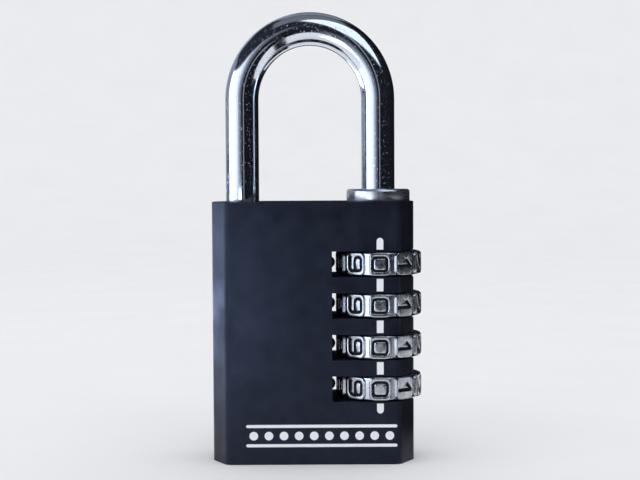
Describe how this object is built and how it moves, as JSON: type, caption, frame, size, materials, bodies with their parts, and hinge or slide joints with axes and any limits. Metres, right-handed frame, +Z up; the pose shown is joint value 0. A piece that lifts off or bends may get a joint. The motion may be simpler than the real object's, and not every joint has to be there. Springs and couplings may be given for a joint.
{
  "type": "combination padlock",
  "caption": "Combination padlock: black bevelled body, round chromed U shackle with a collar, and number dials standing out of its front, side and back.",
  "frame": {"origin": "centre of the body's flat foot", "axes": "+Z up along the shackle's legs, +X towards the heel leg and the dials, -Y out of the front face"},
  "size_m": [0.0417, 0.0168, 0.0891],
  "materials": {
    "black_body": "satin blue-black coat on die-cast zinc",
    "chrome": "bright chrome plate on hardened steel",
    "nickel_plate": "satin nickel plate on die-cast zinc, digits sunk and filled black",
    "brass": "plain turned brass",
    "spring_steel": "plain spring steel",
    "white_paint": "white paint in the index line and the plain print; a surface finish with no solid of its own"
  },
  "bodies": {
    "case": {"case_body": "black_body", "guide_collar": "chrome", "stop_washer": "brass", "bottom_plug": "black_body", "stack_spring": "spring_steel", "detent_spring_1": "spring_steel", "detent_spring_2": "spring_steel", "detent_spring_3": "spring_steel", "detent_spring_4": "spring_steel"},
    "shackle": {"shackle": "chrome", "retaining_ring": "spring_steel"},
    "dial_1": {"dial_1": "nickel_plate"},
    "dial_2": {"dial_2": "nickel_plate"},
    "dial_3": {"dial_3": "nickel_plate"},
    "dial_4": {"dial_4": "nickel_plate"},
    "sleeve_1": {"code_sleeve_1": "brass"},
    "sleeve_2": {"code_sleeve_2": "brass"},
    "sleeve_3": {"code_sleeve_3": "brass"},
    "sleeve_4": {"code_sleeve_4": "brass"},
    "ball_1": {"detent_ball_1": "spring_steel"},
    "ball_2": {"detent_ball_2": "spring_steel"},
    "ball_3": {"detent_ball_3": "spring_steel"},
    "ball_4": {"detent_ball_4": "spring_steel"}
  },
  "joints": [
    {"name": "shackle_lift", "type": "slide", "parent": "case", "child": "shackle", "axis": [0, 0, 1], "range_m": [0, 0.00815]},
    {"name": "dial_1_turn", "type": "hinge", "parent": "case", "child": "dial_1", "pos_m": [0.0131, 0, 0.0393], "axis": [0, 0, 1], "continuous": true},
    {"name": "dial_2_turn", "type": "hinge", "parent": "case", "child": "dial_2", "pos_m": [0.0131, 0, 0.03115], "axis": [0, 0, 1], "continuous": true},
    {"name": "dial_3_turn", "type": "hinge", "parent": "case", "child": "dial_3", "pos_m": [0.0131, 0, 0.023], "axis": [0, 0, 1], "continuous": true},
    {"name": "dial_4_turn", "type": "hinge", "parent": "case", "child": "dial_4", "pos_m": [0.0131, 0, 0.01485], "axis": [0, 0, 1], "continuous": true},
    {"name": "sleeve_1_recode", "type": "slide", "parent": "dial_1", "child": "sleeve_1", "axis": [0, 0, -1], "range_m": [0, 0.0012], "stiffness_N_per_m": 200, "springref_m": -0.002},
    {"name": "sleeve_2_recode", "type": "slide", "parent": "dial_2", "child": "sleeve_2", "axis": [0, 0, -1], "range_m": [0, 0.0012], "stiffness_N_per_m": 200, "springref_m": -0.002},
    {"name": "sleeve_3_recode", "type": "slide", "parent": "dial_3", "child": "sleeve_3", "axis": [0, 0, -1], "range_m": [0, 0.0012], "stiffness_N_per_m": 200, "springref_m": -0.002},
    {"name": "sleeve_4_recode", "type": "slide", "parent": "dial_4", "child": "sleeve_4", "axis": [0, 0, -1], "range_m": [0, 0.0012], "stiffness_N_per_m": 200, "springref_m": -0.002, "deforming": ["stack_spring"]},
    {"name": "ball_1_press", "type": "slide", "parent": "case", "child": "ball_1", "axis": [-1, 0, 0], "range_m": [0, 0.0006], "stiffness_N_per_m": 200, "springref_m": -0.001, "deforming": ["detent_spring_1"]},
    {"name": "ball_2_press", "type": "slide", "parent": "case", "child": "ball_2", "axis": [-1, 0, 0], "range_m": [0, 0.0006], "stiffness_N_per_m": 200, "springref_m": -0.001, "deforming": ["detent_spring_2"]},
    {"name": "ball_3_press", "type": "slide", "parent": "case", "child": "ball_3", "axis": [-1, 0, 0], "range_m": [0, 0.0006], "stiffness_N_per_m": 200, "springref_m": -0.001, "deforming": ["detent_spring_3"]},
    {"name": "ball_4_press", "type": "slide", "parent": "case", "child": "ball_4", "axis": [-1, 0, 0], "range_m": [0, 0.0006], "stiffness_N_per_m": 200, "springref_m": -0.001, "deforming": ["detent_spring_4"]}
  ],
  "couplings": [
    {"joint": "sleeve_1_recode", "follows": "sleeve_4_recode", "ratio": 1},
    {"joint": "sleeve_2_recode", "follows": "sleeve_4_recode", "ratio": 1},
    {"joint": "sleeve_3_recode", "follows": "sleeve_4_recode", "ratio": 1}
  ]
}
